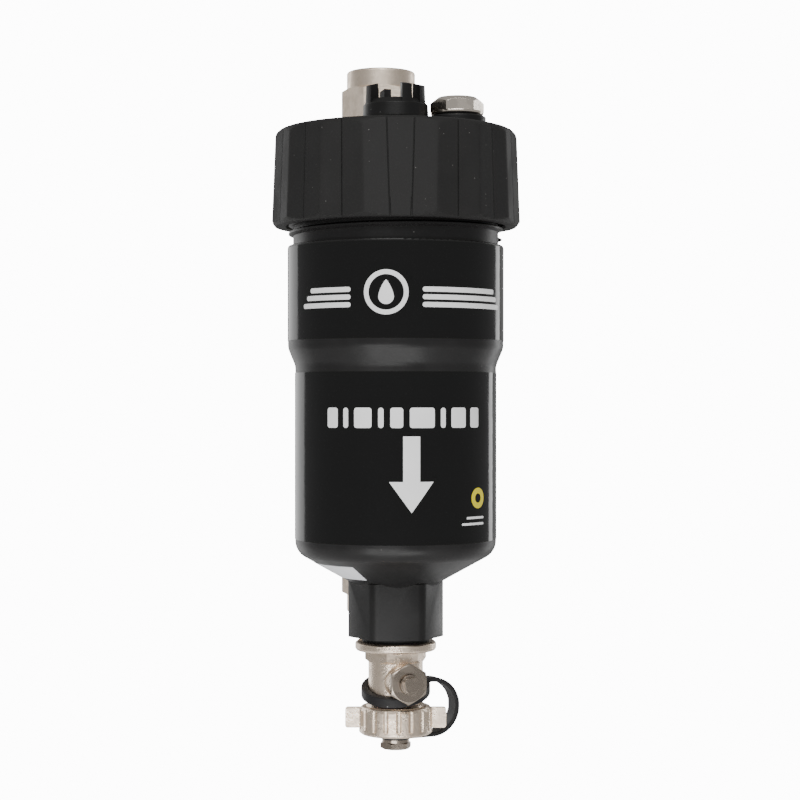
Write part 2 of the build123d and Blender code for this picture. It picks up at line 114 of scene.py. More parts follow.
# %% [markdown]
# ## Shared effects
#
# Several finishes need the same effects: the eggshell skin of moulded plastic, dust
# specks, the grainy skin of forged brass, and the fine lines that a lathe leaves. Each
# effect could be copied into every material. A node group is better: it is built once, has
# named sockets, and each material sets its own values on it. Positions come from Object
# coordinates, which here are metres in the frame, so a scale of 2000 is half a millimetre.

# %% A helper that starts a node group


def start_group(name, inputs, outputs):
    """Makes a group with float inputs {name: default} and float outputs, and its two ends."""
    group = bpy.data.node_groups.new(name, "ShaderNodeTree")
    for label, default in inputs.items():
        socket = group.interface.new_socket(
            label, in_out="INPUT", socket_type="NodeSocketFloat"
        )
        socket.default_value = default
    for label in outputs:
        group.interface.new_socket(label, in_out="OUTPUT", socket_type="NodeSocketFloat")
    return group, group.nodes.new("NodeGroupInput"), group.nodes.new("NodeGroupOutput")


def add(tree, kind, **settings):
    """A new node of a kind, with its own settings already set."""
    node = tree.nodes.new(kind)
    for key, value in settings.items():
        setattr(node, key, value)
    return node


def maths(tree, operation, first, second):
    """A Math node; each operand is a socket to link or a number to set."""
    node = add(tree, "ShaderNodeMath", operation=operation)
    for socket, value in zip(node.inputs, (first, second)):
        if isinstance(value, (int, float)):
            socket.default_value = value
        else:
            tree.links.new(value, socket)
    return node.outputs[0]


def ramp(tree, value, start, end, to_low=0.0, to_high=1.0):
    """A smooth step from to_low to to_high while the value goes from start to end."""
    node = add(tree, "ShaderNodeMapRange", interpolation_type="SMOOTHSTEP")
    tree.links.new(value, node.inputs["Value"])
    limits = {"From Min": start, "From Max": end, "To Min": to_low, "To Max": to_high}
    for socket, number in limits.items():
        node.inputs[socket].default_value = number
    return node.outputs["Result"]


# %% Moulded skin
def make_moulded_skin():
    group, start, end = start_group("moulded skin", {"Scale": 1800.0}, ("Height", "Mottle"))
    where = add(group, "ShaderNodeTexCoord").outputs["Object"]
    fine = add(group, "ShaderNodeTexNoise")
    fine.inputs["Detail"].default_value = 3.0
    broad = add(group, "ShaderNodeTexNoise")
    broad.inputs["Scale"].default_value = 55.0
    for node in (fine, broad):
        group.links.new(where, node.inputs["Vector"])
    group.links.new(start.outputs["Scale"], fine.inputs["Scale"])
    group.links.new(fine.outputs[0], end.inputs["Height"])
    group.links.new(ramp(group, broad.outputs[0], 0.3, 0.7), end.inputs["Mottle"])
    return group


# %% Dust specks
def make_specks():
    inputs = {"Scale": 260.0, "Size": 0.10, "Share": 0.12}
    group, start, end = start_group("specks", inputs, ("Mask",))
    where = add(group, "ShaderNodeTexCoord").outputs["Object"]
    cells = add(group, "ShaderNodeTexVoronoi")
    group.links.new(where, cells.inputs["Vector"])
    group.links.new(start.outputs["Scale"], cells.inputs["Scale"])
    parts = add(group, "ShaderNodeSeparateColor")
    group.links.new(cells.outputs["Color"], parts.inputs["Color"])
    size = maths(group, "MULTIPLY", start.outputs["Size"], parts.outputs["Green"])
    near = maths(group, "LESS_THAN", cells.outputs["Distance"], size)
    chosen = maths(group, "LESS_THAN", parts.outputs["Red"], start.outputs["Share"])
    group.links.new(maths(group, "MULTIPLY", near, chosen), end.inputs["Mask"])
    return group


# %% Forged skin
def make_forged_skin():
    group, start, end = start_group("forged skin", {"Scale": 1400.0}, ("Height", "Stain"))
    where = add(group, "ShaderNodeTexCoord").outputs["Object"]
    grain = add(group, "ShaderNodeTexNoise")
    grain.inputs["Detail"].default_value = 4.0
    grain.inputs["Roughness"].default_value = 0.65
    pits = add(group, "ShaderNodeTexVoronoi", feature="SMOOTH_F1")
    stain = add(group, "ShaderNodeTexNoise")
    stain.inputs["Scale"].default_value = 160.0
    stain.inputs["Detail"].default_value = 4.0
    for node in (grain, pits, stain):
        group.links.new(where, node.inputs["Vector"])
    group.links.new(start.outputs["Scale"], grain.inputs["Scale"])
    group.links.new(maths(group, "MULTIPLY", start.outputs["Scale"], 0.6), pits.inputs["Scale"])
    shallow_pits = maths(group, "MULTIPLY", pits.outputs["Distance"], 0.6)
    rough = maths(group, "ADD", grain.outputs[0], shallow_pits)
    group.links.new(rough, end.inputs["Height"])
    group.links.new(ramp(group, stain.outputs[0], 0.42, 0.68), end.inputs["Stain"])
    return group


# %% Lathe lines
LATHE_SQUASH = (0.02, 0.02, 1.0)  # noise drawn out level, so it turns into rings


def make_lathe_lines():
    group, start, end = start_group("lathe lines", {"Pitch": 4500.0}, ("Height",))
    where = add(group, "ShaderNodeTexCoord").outputs["Object"]
    squash = add(group, "ShaderNodeVectorMath", operation="MULTIPLY")
    squash.inputs[1].default_value = LATHE_SQUASH
    group.links.new(where, squash.inputs[0])
    lines = add(group, "ShaderNodeTexNoise")
    lines.inputs["Detail"].default_value = 2.0
    group.links.new(squash.outputs[0], lines.inputs["Vector"])
    group.links.new(start.outputs["Pitch"], lines.inputs["Scale"])
    group.links.new(lines.outputs[0], end.inputs["Height"])
    return group


EFFECTS = {
    "moulded skin": make_moulded_skin(),
    "specks": make_specks(),
    "forged skin": make_forged_skin(),
    "lathe lines": make_lathe_lines(),
}
print("effects:", ", ".join(EFFECTS))

# %% [markdown]
# ## Finishes
#
# Each finish is one material. A small class keeps the writing short: it makes the
# Principled shader, places an effect group with its own values, and joins a height to the
# Normal through a Bump node. Constants go straight on the shader's own sockets.

# %% A helper for materials


class Finish:
    """One material: its Principled shader, and short ways to vary it."""

    def __init__(self, name, colour, roughness, metallic=0.0, **sockets):
        self.material = bpy.data.materials.new(name)
        self.material.use_nodes = True
        self.tree = self.material.node_tree
        self.shader = self.tree.nodes["Principled BSDF"]
        self.shader.inputs["Base Color"].default_value = (*colour, 1.0)
        self.shader.inputs["Roughness"].default_value = roughness
        self.shader.inputs["Metallic"].default_value = metallic
        for label, value in sockets.items():
            self.shader.inputs[label.replace("_", " ")].default_value = value
        self.colour = colour

    def effect(self, name, **values):
        node = add(self.tree, "ShaderNodeGroup", node_tree=EFFECTS[name])
        for label, value in values.items():
            node.inputs[label].default_value = value
        return node.outputs

    def bump(self, height, distance):
        """Tilts the surface by a height, whose full range is a distance in metres."""
        node = add(self.tree, "ShaderNodeBump")
        node.inputs["Distance"].default_value = distance
        node.inputs["Strength"].default_value = 1.0
        self.tree.links.new(height, node.inputs["Height"])
        self.tree.links.new(node.outputs["Normal"], self.shader.inputs["Normal"])

    def vary_roughness(self, mask, low_value, high_value):
        result = ramp(self.tree, mask, 0.0, 1.0, low_value, high_value)
        self.tree.links.new(result, self.shader.inputs["Roughness"])

    def vary_colour(self, mask, other, under=None):
        """Mixes another colour in where the mask is 1, over the plain or an earlier colour."""
        node = add(self.tree, "ShaderNodeMix", data_type="RGBA")
        self.tree.links.new(mask, node.inputs["Factor"])
        if under is None:
            node.inputs["A"].default_value = (*self.colour, 1.0)
        else:
            self.tree.links.new(under, node.inputs["A"])
        node.inputs["B"].default_value = (*other, 1.0)
        self.tree.links.new(node.outputs["Result"], self.shader.inputs["Base Color"])
        return node.outputs["Result"]


# %% [markdown]
# The canister, collar and plugs are moulded nylon. It is a satin black with a very fine
# eggshell grain, and the collar carries pale dust specks, which is what keeps it from
# looking like a perfect computer black.

# %% Moulded blacks
DUST = (0.16, 0.155, 0.15)


def tinted(colour, factor):
    return tuple(factor * channel for channel in colour)


def moulded_black(name, colour, roughness, grain, depth, speck_share):
    """grain is how many grains go in a metre; speck_share is the share of cells with dust."""
    finish = Finish(name, colour, roughness, Specular_IOR_Level=0.30)
    skin = finish.effect("moulded skin", Scale=grain)
    finish.bump(skin["Height"], depth)
    finish.vary_roughness(skin["Mottle"], roughness - 0.04, roughness + 0.05)
    worn = finish.vary_colour(skin["Mottle"], tinted(colour, 1.25))
    specks = finish.effect("specks", Scale=520.0, Size=0.12, Share=speck_share)
    finish.vary_colour(specks["Mask"], DUST, under=worn)
    return finish.material


# %% [markdown]
# The two labels are a black film with a gloss far above the canister's. A slow ripple in it
# bends the reflections a little, as film on a moulding does. The ink on it is duller.

# %% Printed film
def gloss_label():
    finish = Finish("label_gloss", (0.006, 0.006, 0.006), 0.10, Specular_IOR_Level=0.28)
    skin = finish.effect("moulded skin", Scale=130.0)
    finish.bump(skin["Height"], 0.00006)
    finish.vary_roughness(skin["Mottle"], 0.08, 0.13)
    specks = finish.effect("specks", Scale=180.0, Size=0.05, Share=0.06)
    finish.vary_colour(specks["Mask"], (0.25, 0.25, 0.25))
    return finish.material


def printed_ink(name, colour):
    finish = Finish(name, colour, 0.35)
    skin = finish.effect("moulded skin", Scale=2600.0)
    finish.bump(skin["Height"], 0.00001)
    finish.vary_colour(skin["Mottle"], tinted(colour, 0.96))
    return finish.material


# %% [markdown]
# The fittings are nickel on brass. Nickel is a warm grey metal, never a neutral one. The
# forged parts have a grainy skin, and the machined ones show faint lathe lines.

# %% Metals


def metal(name, colour, roughness, depth, lathed=False):
    """A forged metal of a grain depth in metres, with lathe lines on it if it was turned."""
    finish = Finish(name, colour, roughness, metallic=1.0)
    skin = finish.effect("forged skin")
    height = skin["Height"]
    if lathed:
        height = maths(finish.tree, "ADD", height, finish.effect("lathe lines")["Height"])
    finish.bump(height, depth)
    finish.vary_roughness(skin["Stain"], roughness - 0.05, roughness + 0.10)
    finish.vary_colour(skin["Stain"], tinted(colour, 0.80))
    return finish.material


# %% Rubber and plain plastic


def rubber(name, colour, roughness):
    finish = Finish(name, colour, roughness, Specular_IOR_Level=0.35)
    skin = finish.effect("moulded skin", Scale=1500.0)
    finish.bump(skin["Height"], 0.00004)
    finish.vary_roughness(skin["Mottle"], roughness - 0.05, roughness + 0.08)
    worn = finish.vary_colour(skin["Mottle"], tinted(colour, 1.35))
    specks = finish.effect("specks", Scale=420.0, Share=0.04)
    finish.vary_colour(specks["Mask"], (0.3, 0.3, 0.3), under=worn)
    return finish.material


def plain_plastic(name, colour, roughness):
    finish = Finish(name, colour, roughness)
    skin = finish.effect("moulded skin", Scale=1200.0)
    finish.bump(skin["Height"], 0.00002)
    finish.vary_roughness(skin["Mottle"], roughness - 0.05, roughness + 0.06)
    finish.vary_colour(skin["Mottle"], tinted(colour, 0.93))
    return finish.material


# %% The table of finishes
BLACKS = {  # colour, roughness, grain, depth, share of specks
    "canister_black": ((0.012, 0.0116, 0.0116), 0.36, 1500.0, 0.00003, 0.05),
    "collar_black": ((0.0125, 0.012, 0.0118), 0.66, 1700.0, 0.00005, 0.35),
    "head_black": ((0.010, 0.0098, 0.0098), 0.40, 1700.0, 0.00004, 0.05),
    "lever_coat": ((0.030, 0.030, 0.032), 0.33, 900.0, 0.00006, 0.02),
}
METALS = {  # colour, roughness, grain depth, turned on a lathe
    "stainless": ((0.62, 0.61, 0.60), 0.24, 0.00002, True),
    "magnet_nickel": ((0.66, 0.65, 0.64), 0.16, 0.00001, False),
    "pole_steel": ((0.40, 0.40, 0.41), 0.38, 0.00003, True),
    "cast_nickel": ((0.92, 0.77, 0.62), 0.30, 0.00013, False),
    # bright_nickel's colour is painted shade: this nickel is made far darker than the others
    # because its polished faces mirror a dark part of the room
    "bright_nickel": ((0.42, 0.36, 0.30), 0.27, 0.00002, False),
    "vent_nickel": ((0.95, 0.86, 0.75), 0.16, 0.00002, False),
    "ball_chrome": ((0.72, 0.72, 0.73), 0.08, 0.000005, False),
    "fitting_nickel": ((0.97, 0.83, 0.68), 0.40, 0.00004, True),
    "spindle_steel": ((0.56, 0.55, 0.54), 0.28, 0.00002, True),
    "olive_brass": ((0.80, 0.58, 0.24), 0.24, 0.00003, True),
}
PLASTICS = {  # colour, roughness
    "sticker_white": ((0.93, 0.94, 0.97), 0.45),
    "inner_plastic": ((0.16, 0.16, 0.17), 0.45),
    "seat_white": ((0.84, 0.84, 0.82), 0.38),
}
RUBBERS = {  # colour, roughness
    "seal_rubber": ((0.014, 0.014, 0.015), 0.55),
    "strap_rubber": ((0.010, 0.0095, 0.010), 0.46),
}
FINISHES = {"label_gloss": gloss_label()}
for make, table in (
    (moulded_black, BLACKS),
    (metal, METALS),
    (plain_plastic, PLASTICS),
    (rubber, RUBBERS),
):
    for name, values in table.items():
        FINISHES[name] = make(name, *values)
INK_WHITE = printed_ink("ink_white", (0.93, 0.93, 0.93))
INK_GREY = printed_ink("ink_grey", (0.36, 0.38, 0.46))
INK_YELLOW = printed_ink("ink_yellow", (0.80, 0.68, 0.02))
for name, node in nodes.items():
    node.data.materials.clear()
    node.data.materials.append(FINISHES[slot_of[name]])
print(len(FINISHES), "finishes on", len(nodes), "nodes")

# %% [markdown]
# ## Soft edges on machined and moulded parts
#
# No real edge is perfectly sharp: a moulded edge has a small radius and a machined one is
# deburred, and both catch a thin line of light. The CAD nodes have sharp edges. A copy of
# the node's mesh gets a Bevel modifier that works only on edges over a set angle, and
# stands in for the node. Weighted normals then keep its flats looking flat.

# %% Making a piece from a mesh


def free_piece(name, mesh, node, finish=None):
    """Links a new object with a CAD node's finish, without tying it to a body yet."""
    piece = bpy.data.objects.new(name, mesh)
    bpy.context.scene.collection.objects.link(piece)
    piece.data.materials.clear()
    piece.data.materials.append(finish or FINISHES[slot_of[node]])
    return piece


def as_piece(name, mesh, node, finish=None):
    """Links a new object that stands for a CAD node and moves with that node's body."""
    piece = free_piece(name, mesh, node, finish)
    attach(piece, body_of[node])
    return piece


def apply_modifiers(piece):
    """Puts the modified shape in the piece's mesh, so that it exports as it looks."""
    evaluated = piece.evaluated_get(bpy.context.evaluated_depsgraph_get())
    shape = bpy.data.meshes.new_from_object(evaluated)
    piece.modifiers.clear()
    piece.data = shape


# %% Rounding the edges of a part
WELD = 0.004 * MM
FLAT_ANGLE = math.radians(0.8)  # faces that meet at less than this become one
BEVEL_ANGLE = math.radians(32.0)
SHARP_ANGLE = math.radians(35.0)
FLAT_WEIGHT = 90  # how far a large flat face decides the normals at its edge


def soften(node, width):
    mesh = nodes[node].data.copy()
    work = bmesh.new()
    work.from_mesh(mesh)
    bmesh.ops.remove_doubles(work, verts=work.verts, dist=WELD)
    bmesh.ops.dissolve_limit(work, angle_limit=FLAT_ANGLE, verts=work.verts, edges=work.edges)
    work.to_mesh(mesh)
    work.free()
    piece = as_piece(node + "_soft", mesh, node)
    bevel = piece.modifiers.new("edges", "BEVEL")
    bevel.width = width
    bevel.segments = 2
    bevel.limit_method = "ANGLE"
    bevel.angle_limit = BEVEL_ANGLE
    bevel.miter_outer = "MITER_ARC"
    apply_modifiers(piece)
    piece.data.shade_smooth()
    piece.data.set_sharp_from_angle(angle=SHARP_ANGLE)
    normals = piece.modifiers.new("flats stay flat", "WEIGHTED_NORMAL")
    normals.keep_sharp = True
    normals.weight = FLAT_WEIGHT
    apply_modifiers(piece)
    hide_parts(node)


# %% Which parts get soft edges
SOFT_EDGES = {
    "magnet_plug": 0.30 * MM,
    "vent_plug": 0.25 * MM,
    "head_disc": 0.30 * MM,
    "canister_body": 0.35 * MM,
    "drain_valve_body": 0.30 * MM,
    "drain_gland_nut": 0.25 * MM,
    "drain_spindle": 0.20 * MM,
    "drain_cap": 0.25 * MM,
    "cap_bolt": 0.25 * MM,
    "port_union_nut": 0.35 * MM,
    "manifold_tee": 0.25 * MM,
}
PIPE_PARTS = (
    "union_nut",
    "valve_body",
    "gland_nut",
    "valve_handle",
    "handle_screw",
    "compression_nut",
)
for side in ("upper", "lower"):
    for part in PIPE_PARTS:
        SOFT_EDGES[f"{side}_{part}"] = 0.30 * MM
for name, width in SOFT_EDGES.items():
    soften(name, width)
print(len(SOFT_EDGES), "parts with softened edges")

# %% [markdown]
# ## The collar ring
#
# The collar is what a hand grips: three groups of five roof-shaped lobes with a plain panel
# between the groups, a narrow dark slit in each valley, and a rounded top edge. A mesh of
# rings is made by formula: each ring is the many-sided outline at one height, and stays
# inside a turned outline that rounds the top and bevels the foot. This gives rows of quads,
# where a Boolean would leave slivers.

# %% The collar's outline at any height
COLLAR_FOOT_R, COLLAR_TOP_R = 54.8 * MM, 53.2 * MM
COLLAR_BORE_R, COLLAR_MOUTH_R = 47.6 * MM, 41.4 * MM
COLLAR_START = math.radians(-90 - 2.4)
PANEL_HALF_FOOT, PANEL_HALF_TOP = math.radians(4.8), math.radians(6.45)
GROOVE_DEPTH = 1.3 * MM
SLIT_DEPTH, SLIT_HALF = 0.55 * MM, 0.28 * MM
RIDGE_WORN, RIDGE_REACH = 0.10 * MM, 1.2 * MM
TOP_ROUND = 4.0 * MM
FOOT_CHAMFER_HIGH, FOOT_CHAMFER_IN = 1.8 * MM, 1.9 * MM
LOBES, GROUPS = 5, 3
SIDE_STEPS = (0.0, 0.012, 0.03, 0.06, 0.12, 0.25, 0.5, 0.75, 0.88, 0.94, 0.97, 0.988)


def collar_corners(radius, panel_half):
    """The corners (radius, angle, is_groove) of the outline, all the way round."""
    corners = []
    lobe = (2 * math.pi / GROUPS - 2 * panel_half) / LOBES
    for group in range(GROUPS):
        start = group * 2 * math.pi / GROUPS + panel_half
        for index in range(LOBES):
            corners.append((radius - GROOVE_DEPTH, start + index * lobe, True))
            corners.append((radius, start + (index + 0.5) * lobe, False))
        corners.append((radius - GROOVE_DEPTH, start + LOBES * lobe, True))
    return corners


def polar(radius, angle, z=0.0):
    return Vector((radius * math.cos(angle), radius * math.sin(angle), z))


def surface_drop(is_groove, gap):
    """How far the surface lies in at a gap from a corner: a slit, or a worn ridge."""
    if is_groove:
        return SLIT_DEPTH if gap < SLIT_HALF else 0.0
    return RIDGE_WORN * (1 - gap / RIDGE_REACH) ** 2 if gap < RIDGE_REACH else 0.0


def collar_outline(share):
    """Points round the outside at a share of the height, with slits and softened ridges."""
    radius = COLLAR_FOOT_R + share * (COLLAR_TOP_R - COLLAR_FOOT_R)
    panel_half = PANEL_HALF_FOOT + share * (PANEL_HALF_TOP - PANEL_HALF_FOOT)
    corners = collar_corners(radius, panel_half)
    points = []
    for here, there in zip(corners, corners[1:] + corners[:1]):
        start, end = polar(*here[:2]), polar(*there[:2])
        length = (end - start).length
        for step in SIDE_STEPS:
            point = start.lerp(end, step)
            from_start = surface_drop(here[2], step * length)
            from_end = surface_drop(there[2], (1 - step) * length)
            points.append(point * (1 - max(from_start, from_end) / point.length))
    return points


def turned_limit(z):
    """The turned outline's radius at a height: it bevels the foot and rounds the top."""
    up, down = z - COLLAR_FOOT, COLLAR_TOP - z
    if up < FOOT_CHAMFER_HIGH:
        return COLLAR_FOOT_R - FOOT_CHAMFER_IN + up
    if down < TOP_ROUND:
        return COLLAR_TOP_R - TOP_ROUND + math.sqrt(TOP_ROUND**2 - (TOP_ROUND - down) ** 2)
    return math.inf


# %% Skinning rings of points


def skin(rings, name):
    """Joins closed rings of equal length into a tube that closes on itself, like a bent pipe."""
    count = len(rings[0])
    verts = [point for ring in rings for point in ring]
    faces = []
    for row in range(len(rings)):
        below, above = row * count, ((row + 1) % len(rings)) * count
        for k in range(count):
            n = (k + 1) % count
            faces.append((below + k, below + n, above + n, above + k))
    mesh = bpy.data.meshes.new(name)
    mesh.from_pydata(verts, [], faces)
    work = bmesh.new()
    work.from_mesh(mesh)
    bmesh.ops.recalc_face_normals(work, faces=work.faces)
    work.to_mesh(mesh)
    work.free()
    return mesh


# %% Building the collar
COLLAR_HEIGHT = COLLAR_TOP - COLLAR_FOOT
SLIT_CREASE = math.radians(9.0)  # edges over this angle stay crisp
OUTER_HEIGHTS = (
    [0, 0.5, 1.0, 1.8, 2.6, 8, 16, 24, 32, 37]
    + [38.0, 38.8, 39.6, 40.3, 40.9, 41.4, 41.7, 41.9, 42.0]
)  # mm above the foot, closest where the top rounds
LIP_THICK = 3.8 * MM
INNER_PROFILE = [  # radius, and how far below the top
    (COLLAR_MOUTH_R + 0.8 * MM, 0),
    (COLLAR_MOUTH_R + 0.2 * MM, 0.2 * MM),
    (COLLAR_MOUTH_R, 0.8 * MM),
    (COLLAR_MOUTH_R, LIP_THICK - 0.2 * MM),
    (COLLAR_MOUTH_R + 0.2 * MM, LIP_THICK),
    (COLLAR_BORE_R - 0.3 * MM, LIP_THICK),
    (COLLAR_BORE_R, LIP_THICK + 0.3 * MM),
    (COLLAR_BORE_R, COLLAR_HEIGHT - 1.0 * MM),
    (COLLAR_BORE_R + 0.8 * MM, COLLAR_HEIGHT),
]


def collar_ring():
    rings = []
    for height in OUTER_HEIGHTS:
        z = COLLAR_FOOT + height * MM
        ring = []
        for point in collar_outline(height * MM / COLLAR_HEIGHT):
            radius = min(point.length, turned_limit(z))
            angle = math.atan2(point.y, point.x) + COLLAR_START
            ring.append(AXIS + polar(radius, angle, z))
        rings.append(ring)
    angles = [math.atan2(p.y - AXIS.y, p.x - AXIS.x) for p in rings[0]]
    for radius, drop in INNER_PROFILE:
        rings.append([AXIS + polar(radius, a, COLLAR_TOP - drop) for a in angles])
    print("collar:", len(rings), "rings of", len(rings[0]), "points")
    piece = as_piece("collar_grip", skin(rings, "collar_grip"), "collar_ring")
    piece.data.shade_smooth()
    piece.data.set_sharp_from_angle(angle=SLIT_CREASE)
    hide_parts("collar_ring")


collar_ring()

# %% [markdown]
# ## The rubber strap
#
# The strap is one moulding: a ring round the valve, a band that loops beside the cap, and
# an eye under it. Where the band leaves the ring the rubber flows in a soft fillet. The
# CAD solid has the right route but hard corners, so its mesh is remeshed into small even
# cells and relaxed, which rounds every corner and melts the three parts together. It
# crosses the cap's joint, and is left free of both bodies.

# %% Strap
STRAP_CELL = 0.30 * MM


def strap():
    piece = free_piece("strap_moulded", nodes["strap"].data.copy(), "strap")
    remesh = piece.modifiers.new("cells", "REMESH")
    remesh.mode = "VOXEL"
    remesh.voxel_size = STRAP_CELL
    relax = piece.modifiers.new("relax", "SMOOTH")
    relax.factor = 0.5
    relax.iterations = 5
    thin = piece.modifiers.new("thin", "DECIMATE")
    thin.ratio = 0.45
    apply_modifiers(piece)
    piece.data.shade_smooth()
    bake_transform(piece)
    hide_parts("strap")
    print("strap:", len(piece.data.polygons), "faces")


strap()

# %% [markdown]
# ## Printed marks
#
# The labels carry white print. Here it is plain signs of this lesson's own: bars, a ring
# with a drop, a flow arrow, and a yellow dot. Print could be a mask in the label's
# material, but a thin film of ink, a few hundredths of a millimetre proud, stays crisp at
# any distance. Each mark is drawn flat, cut into narrow strips, and rolled on to the label.

# %% Rolling a flat outline on to a label
INK = 0.03 * MM
INK_LIFT = 0.01 * MM
STRIP_WIDTH = 1.2 * MM


def rolled(name, outline, radius, node, ink, holes=()):
    """Outline and holes are lists of (angle in degrees, height over the node's foot in mm)."""
    work = bmesh.new()
    edges = []
    for loop in (outline, *holes):
        verts = [work.verts.new((math.radians(a) * radius, 0, h * MM)) for a, h in loop]
        edges += [work.edges.new(pair) for pair in zip(verts, verts[1:] + verts[:1])]
    bmesh.ops.triangle_fill(
        work, use_beauty=True, use_dissolve=True, edges=edges, normal=(0, -1, 0)
    )
    start = min(v.co.x for v in work.verts)
    end = max(v.co.x for v in work.verts)
    strips = int((end - start) / STRIP_WIDTH)
    for strip in range(1, strips + 1):
        cut = start + strip * (end - start) / (strips + 1)
        geometry = work.verts[:] + work.edges[:] + work.faces[:]
        bmesh.ops.bisect_plane(work, geom=geometry, plane_co=(cut, 0, 0), plane_no=(1, 0, 0))
    bmesh.ops.solidify(work, geom=work.faces[:], thickness=INK)
    bmesh.ops.recalc_face_normals(work, faces=work.faces)
    deepest = max(abs(v.co.y) for v in work.verts)
    foot = low(node).z
    for vert in work.verts:
        out = radius + INK_LIFT + INK * abs(vert.co.y) / deepest
        angle = vert.co.x / radius
        rolled_on = Vector((out * math.sin(angle), -out * math.cos(angle), foot + vert.co.z))
        vert.co = AXIS + rolled_on
    bmesh.ops.recalc_face_normals(work, faces=work.faces)
    mesh = bpy.data.meshes.new(name)
    work.to_mesh(mesh)
    work.free()
    piece = bpy.data.objects.new(name, mesh)
    bpy.context.scene.collection.objects.link(piece)
    mesh.materials.append(ink)
    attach(piece, body_of[node])


# %% Outlines for the marks
CORNER_POINTS = 5
OVAL_POINTS = 40


def rounded_bar(left, right, bottom, top, corner, radius, lean=0.0):
    """A bar with round corners; corner is in mm, left and right are in degrees."""
    across = math.degrees(corner * MM / radius)
    points = []
    centres = (
        (right - across, top - corner),
        (left + across, top - corner),
        (left + across, bottom + corner),
        (right - across, bottom + corner),
    )
    for quarter, (cx, cz) in enumerate(centres):
        for step in range(CORNER_POINTS):
            turn = math.radians(90 * (quarter + step / (CORNER_POINTS - 1)))
            z = cz + corner * math.sin(turn)
            points.append((cx + across * math.cos(turn) + lean * (z - bottom), z))
    return points


def oval(centre, height, half_wide, half_high, radius, pointed=0.0):
    """A circle or, with pointed above 0, a drop whose tip is that many mm above its centre."""
    points = []
    for step in range(OVAL_POINTS):
        turn = 2 * math.pi * step / OVAL_POINTS
        rise = half_high * math.sin(turn)
        wide = half_wide * math.cos(turn)
        if pointed > 0 and rise > 0:
            share = rise / half_high
            rise = pointed * share
            wide *= (1 - share) ** 0.35
        points.append((centre + math.degrees(wide * MM / radius), height + rise))
    return points


# %% Marks on the upper label


def upper_mark(name, outline, holes=()):
    rolled(name, outline, UPPER_LABEL_R, "upper_label", INK_WHITE, holes)


def upper_marks():
    """Three tapering bars on each side of a ring with a drop; angles in degrees, rest in mm."""
    foot, pitch, thick, taper = 12.8, 3.2, 2.1, 3.0
    for side, left, right in (("left", -60.0, -28.0), ("right", 9.0, 63.0)):
        for row in range(3):
            bottom, inset = foot + row * pitch, row * taper
            ends = (left + inset, right) if side == "left" else (left, right - inset)
            bar = rounded_bar(*ends, bottom, bottom + thick, 1.0, UPPER_LABEL_R)
            upper_mark(f"mark_bar_{side}_{row + 1}", bar)
    centre, height = -9.5, 19.0
    outer, inner = (oval(centre, height, r, r, UPPER_LABEL_R) for r in (9.4, 7.4))
    upper_mark("mark_ring", outer, [inner])
    upper_mark("mark_drop", oval(centre, 17.2, 3.3, 3.3, UPPER_LABEL_R, pointed=7.0))


# %% Marks on the lower label


def lower_mark(name, outline, ink=INK_WHITE, holes=()):
    rolled(name, outline, LOWER_LABEL_R, "lower_label", ink, holes)


def lower_marks():
    """A row of dashes, a flow arrow, a dot and two lines; angles in degrees, rest in mm."""
    widths, gap, row_centre = (7.0, 3.0, 10.0, 3.0, 7.0, 14.0, 3.0, 10.0, 7.0), 3.6, 1.4
    start = row_centre - (sum(widths) + gap * (len(widths) - 1)) / 2
    for index, width in enumerate(widths):
        bar = rounded_bar(start, start + width, 49.0, 57.5, 1.1, LOWER_LABEL_R)
        lower_mark(f"mark_dash_{index + 1}", bar)
        start += width + gap
    centre, foot = 4.0, 13.5
    tip, head, half_head, half_stem, end = 0, 13.0, 9.5, 3.6, 32.0
    right_side = [(half_head, head), (half_stem, head), (half_stem, end)]
    left_side = [(-x, z) for x, z in reversed(right_side)]
    arrow = [(0, tip), *right_side, *left_side]
    outline = [(centre + math.degrees(x * MM / LOWER_LABEL_R), foot + z) for x, z in arrow]
    lower_mark("mark_flow_arrow", outline)
    outer, inner = (oval(47.5, 19.0, r, r, LOWER_LABEL_R) for r in (4.4, 2.0))
    lower_mark("mark_yellow_dot", outer, INK_YELLOW, [inner])
    for row, left in enumerate((38.0, 34.5)):
        bottom = 10.2 - row * 2.6
        line = rounded_bar(left, 53.0, bottom, bottom + 1.0, 0.4, LOWER_LABEL_R)
        lower_mark(f"mark_line_{row + 1}", line)


# %% Bars on the batch sticker
STICKER_IN, STICKER_OUT = 24.5 * MM, 36.0 * MM  # the sticker's reach from the axis
STICKER_ROWS = (27.0, 29.0, 31.0, 33.0)
BAR_WIDE = 0.8 * MM
BAR_STEPS = 8


def sticker_marks():
    """Pale bars on the underside of the canister, one short strip of faces each."""
    foot, top = low("batch_sticker").z, high("batch_sticker").z
    slope = (top - foot) / (STICKER_OUT - STICKER_IN)
    verts, faces = [], []
    for row, inner_mm in enumerate(STICKER_ROWS):
        edges = (inner_mm * MM, inner_mm * MM + BAR_WIDE)
        for start, end in ((-132.0, -146.0 - 3 * row), (-152.0 - 2 * row, -158.0 - 3 * row)):
            first = len(verts)
            for step in range(BAR_STEPS + 1):
                angle = math.radians(start + (end - start) * step / BAR_STEPS)
                for reach in edges:
                    z = foot + (reach - STICKER_IN) * slope - INK_LIFT
                    verts.append(AXIS + polar(reach, angle, z))
            for k in range(first, first + 2 * BAR_STEPS, 2):
                faces.append((k, k + 1, k + 3, k + 2))
    mesh = bpy.data.meshes.new("sticker_bars")
    mesh.from_pydata(verts, [], faces)
    as_piece("sticker_bars", mesh, "batch_sticker", INK_GREY)
    print("sticker:", len(faces), "faces of print")


upper_marks()
lower_marks()
sticker_marks()
print("printed marks rolled on")

# %% [markdown]
# ## The camera and the light
#
# The camera stands level, a little to the left of the canister's front, at the height of
# the middle of the canister. An 85 mm lens keeps the perspective calm.

